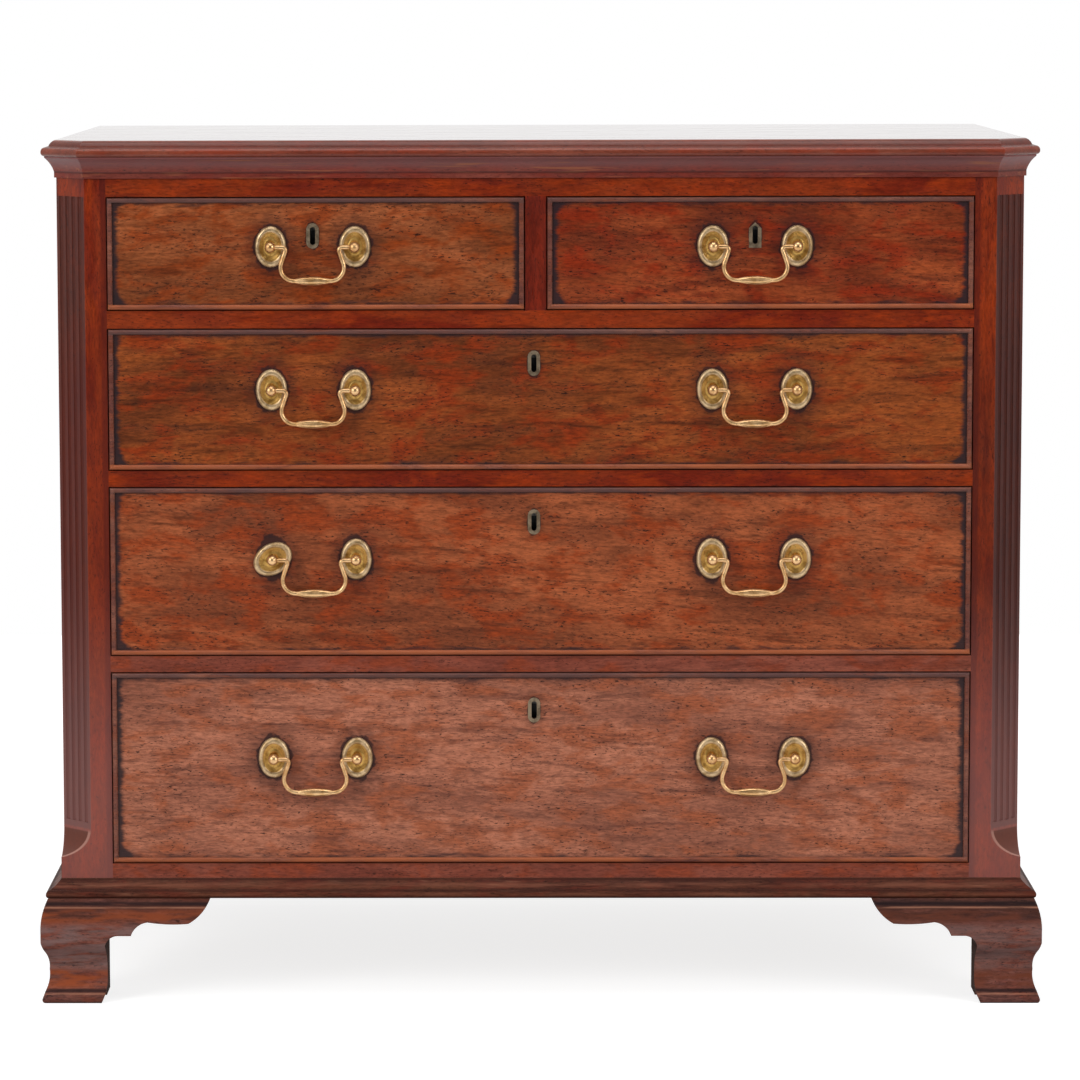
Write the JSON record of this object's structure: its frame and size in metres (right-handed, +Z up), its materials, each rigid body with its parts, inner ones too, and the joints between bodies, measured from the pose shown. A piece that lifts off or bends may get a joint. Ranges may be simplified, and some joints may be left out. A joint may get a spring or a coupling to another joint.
{
  "type": "chest of drawers",
  "caption": "Straight-front mahogany chest of short and long drawers with canted fluted corners, moulded top, brass swan-neck bail handles and ogee bracket feet.",
  "frame": {"origin": "on the floor under the middle of the whole chest's box", "axes": "+Z up, +X towards the right of a person who faces the drawers, +Y towards the back; the drawers pull out along -Y"},
  "size_m": [1.0582, 0.5562, 0.912],
  "materials": {
    "top_mahogany": "waxed, polished",
    "moulding_mahogany": "waxed",
    "case_mahogany": "waxed",
    "post_mahogany": "waxed",
    "rail_mahogany": "waxed",
    "drawer_front_mahogany": "waxed, polished",
    "bead_mahogany": "waxed",
    "foot_mahogany": "worn wax",
    "lining_oak": "bare, dry",
    "back_pine": "bare, dusty",
    "handle_brass": "aged, rubbed",
    "lock_brass": "dull, tarnished",
    "bolt_iron": "filed, oiled"
  },
  "bodies": {
    "case": {"top_board": "top_mahogany", "cornice_moulding": "moulding_mahogany", "left_side": "case_mahogany", "right_side": "case_mahogany", "left_corner_post": "post_mahogany", "right_corner_post": "post_mahogany", "top_rail": "rail_mahogany", "short_drawer_rail": "rail_mahogany", "upper_long_rail": "rail_mahogany", "lower_long_rail": "rail_mahogany", "bottom_rail": "rail_mahogany", "centre_divider": "rail_mahogany", "dustboards": "lining_oak", "drawer_runners": "lining_oak", "case_bottom": "lining_oak", "back_boards": "back_pine", "base_moulding": "moulding_mahogany", "left_front_foot": "foot_mahogany", "right_front_foot": "foot_mahogany", "rear_feet": "foot_mahogany"},
    "left_short_drawer": {"left_short_drawer_front": "drawer_front_mahogany", "left_short_drawer_cockbead": "bead_mahogany", "left_short_drawer_box": "lining_oak", "left_short_drawer_handle_mounts": "handle_brass", "left_short_drawer_lock": "lock_brass"},
    "left_short_drawer_bolt": {"left_short_drawer_bolt": "bolt_iron"},
    "left_short_drawer_bail": {"left_short_drawer_bail": "handle_brass"},
    "right_short_drawer": {"right_short_drawer_front": "drawer_front_mahogany", "right_short_drawer_cockbead": "bead_mahogany", "right_short_drawer_box": "lining_oak", "right_short_drawer_handle_mounts": "handle_brass", "right_short_drawer_lock": "lock_brass"},
    "right_short_drawer_bolt": {"right_short_drawer_bolt": "bolt_iron"},
    "right_short_drawer_bail": {"right_short_drawer_bail": "handle_brass"},
    "upper_long_drawer": {"upper_long_drawer_front": "drawer_front_mahogany", "upper_long_drawer_cockbead": "bead_mahogany", "upper_long_drawer_box": "lining_oak", "upper_long_drawer_handle_mounts": "handle_brass", "upper_long_drawer_lock": "lock_brass"},
    "upper_long_drawer_bolt": {"upper_long_drawer_bolt": "bolt_iron"},
    "upper_long_drawer_left_bail": {"upper_long_drawer_left_bail": "handle_brass"},
    "upper_long_drawer_right_bail": {"upper_long_drawer_right_bail": "handle_brass"},
    "middle_long_drawer": {"middle_long_drawer_front": "drawer_front_mahogany", "middle_long_drawer_cockbead": "bead_mahogany", "middle_long_drawer_box": "lining_oak", "middle_long_drawer_handle_mounts": "handle_brass", "middle_long_drawer_lock": "lock_brass"},
    "middle_long_drawer_bolt": {"middle_long_drawer_bolt": "bolt_iron"},
    "middle_long_drawer_left_bail": {"middle_long_drawer_left_bail": "handle_brass"},
    "middle_long_drawer_right_bail": {"middle_long_drawer_right_bail": "handle_brass"},
    "lower_long_drawer": {"lower_long_drawer_front": "drawer_front_mahogany", "lower_long_drawer_cockbead": "bead_mahogany", "lower_long_drawer_box": "lining_oak", "lower_long_drawer_handle_mounts": "handle_brass", "lower_long_drawer_lock": "lock_brass"},
    "lower_long_drawer_bolt": {"lower_long_drawer_bolt": "bolt_iron"},
    "lower_long_drawer_left_bail": {"lower_long_drawer_left_bail": "handle_brass"},
    "lower_long_drawer_right_bail": {"lower_long_drawer_right_bail": "handle_brass"}
  },
  "joints": [
    {"name": "left_short_drawer_slide", "type": "slide", "parent": "case", "child": "left_short_drawer", "axis": [0, -1, 0], "range_m": [0, 0.36]},
    {"name": "left_short_drawer_bolt_slide", "type": "slide", "parent": "left_short_drawer", "child": "left_short_drawer_bolt", "axis": [0, 0, 1], "range_m": [0, 0.008]},
    {"name": "left_short_drawer_bail_hinge", "type": "hinge", "parent": "left_short_drawer", "child": "left_short_drawer_bail", "pos_m": [-0.2375, -0.26895, 0.801], "axis": [-1, 0, 0], "range_deg": [-8, 188]},
    {"name": "right_short_drawer_slide", "type": "slide", "parent": "case", "child": "right_short_drawer", "axis": [0, -1, 0], "range_m": [0, 0.36]},
    {"name": "right_short_drawer_bolt_slide", "type": "slide", "parent": "right_short_drawer", "child": "right_short_drawer_bolt", "axis": [0, 0, 1], "range_m": [0, 0.008]},
    {"name": "right_short_drawer_bail_hinge", "type": "hinge", "parent": "right_short_drawer", "child": "right_short_drawer_bail", "pos_m": [0.2245, -0.26895, 0.801], "axis": [-1, 0, 0], "range_deg": [-8, 188]},
    {"name": "upper_long_drawer_slide", "type": "slide", "parent": "case", "child": "upper_long_drawer", "axis": [0, -1, 0], "range_m": [0, 0.36]},
    {"name": "upper_long_drawer_bolt_slide", "type": "slide", "parent": "upper_long_drawer", "child": "upper_long_drawer_bolt", "axis": [0, 0, 1], "range_m": [0, 0.008]},
    {"name": "upper_long_drawer_left_bail_hinge", "type": "hinge", "parent": "upper_long_drawer", "child": "upper_long_drawer_left_bail", "pos_m": [-0.2375, -0.26895, 0.651], "axis": [-1, 0, 0], "range_deg": [-8, 188]},
    {"name": "upper_long_drawer_right_bail_hinge", "type": "hinge", "parent": "upper_long_drawer", "child": "upper_long_drawer_right_bail", "pos_m": [0.2245, -0.26895, 0.651], "axis": [-1, 0, 0], "range_deg": [-8, 188]},
    {"name": "middle_long_drawer_slide", "type": "slide", "parent": "case", "child": "middle_long_drawer", "axis": [0, -1, 0], "range_m": [0, 0.36]},
    {"name": "middle_long_drawer_bolt_slide", "type": "slide", "parent": "middle_long_drawer", "child": "middle_long_drawer_bolt", "axis": [0, 0, 1], "range_m": [0, 0.008]},
    {"name": "middle_long_drawer_left_bail_hinge", "type": "hinge", "parent": "middle_long_drawer", "child": "middle_long_drawer_left_bail", "pos_m": [-0.2375, -0.26895, 0.4722], "axis": [-1, 0, 0], "range_deg": [-8, 188]},
    {"name": "middle_long_drawer_right_bail_hinge", "type": "hinge", "parent": "middle_long_drawer", "child": "middle_long_drawer_right_bail", "pos_m": [0.2245, -0.26895, 0.4722], "axis": [-1, 0, 0], "range_deg": [-8, 188]},
    {"name": "lower_long_drawer_slide", "type": "slide", "parent": "case", "child": "lower_long_drawer", "axis": [0, -1, 0], "range_m": [0, 0.36]},
    {"name": "lower_long_drawer_bolt_slide", "type": "slide", "parent": "lower_long_drawer", "child": "lower_long_drawer_bolt", "axis": [0, 0, 1], "range_m": [0, 0.008]},
    {"name": "lower_long_drawer_left_bail_hinge", "type": "hinge", "parent": "lower_long_drawer", "child": "lower_long_drawer_left_bail", "pos_m": [-0.2375, -0.26895, 0.2605], "axis": [-1, 0, 0], "range_deg": [-8, 188]},
    {"name": "lower_long_drawer_right_bail_hinge", "type": "hinge", "parent": "lower_long_drawer", "child": "lower_long_drawer_right_bail", "pos_m": [0.2245, -0.26895, 0.2605], "axis": [-1, 0, 0], "range_deg": [-8, 188]}
  ]
}
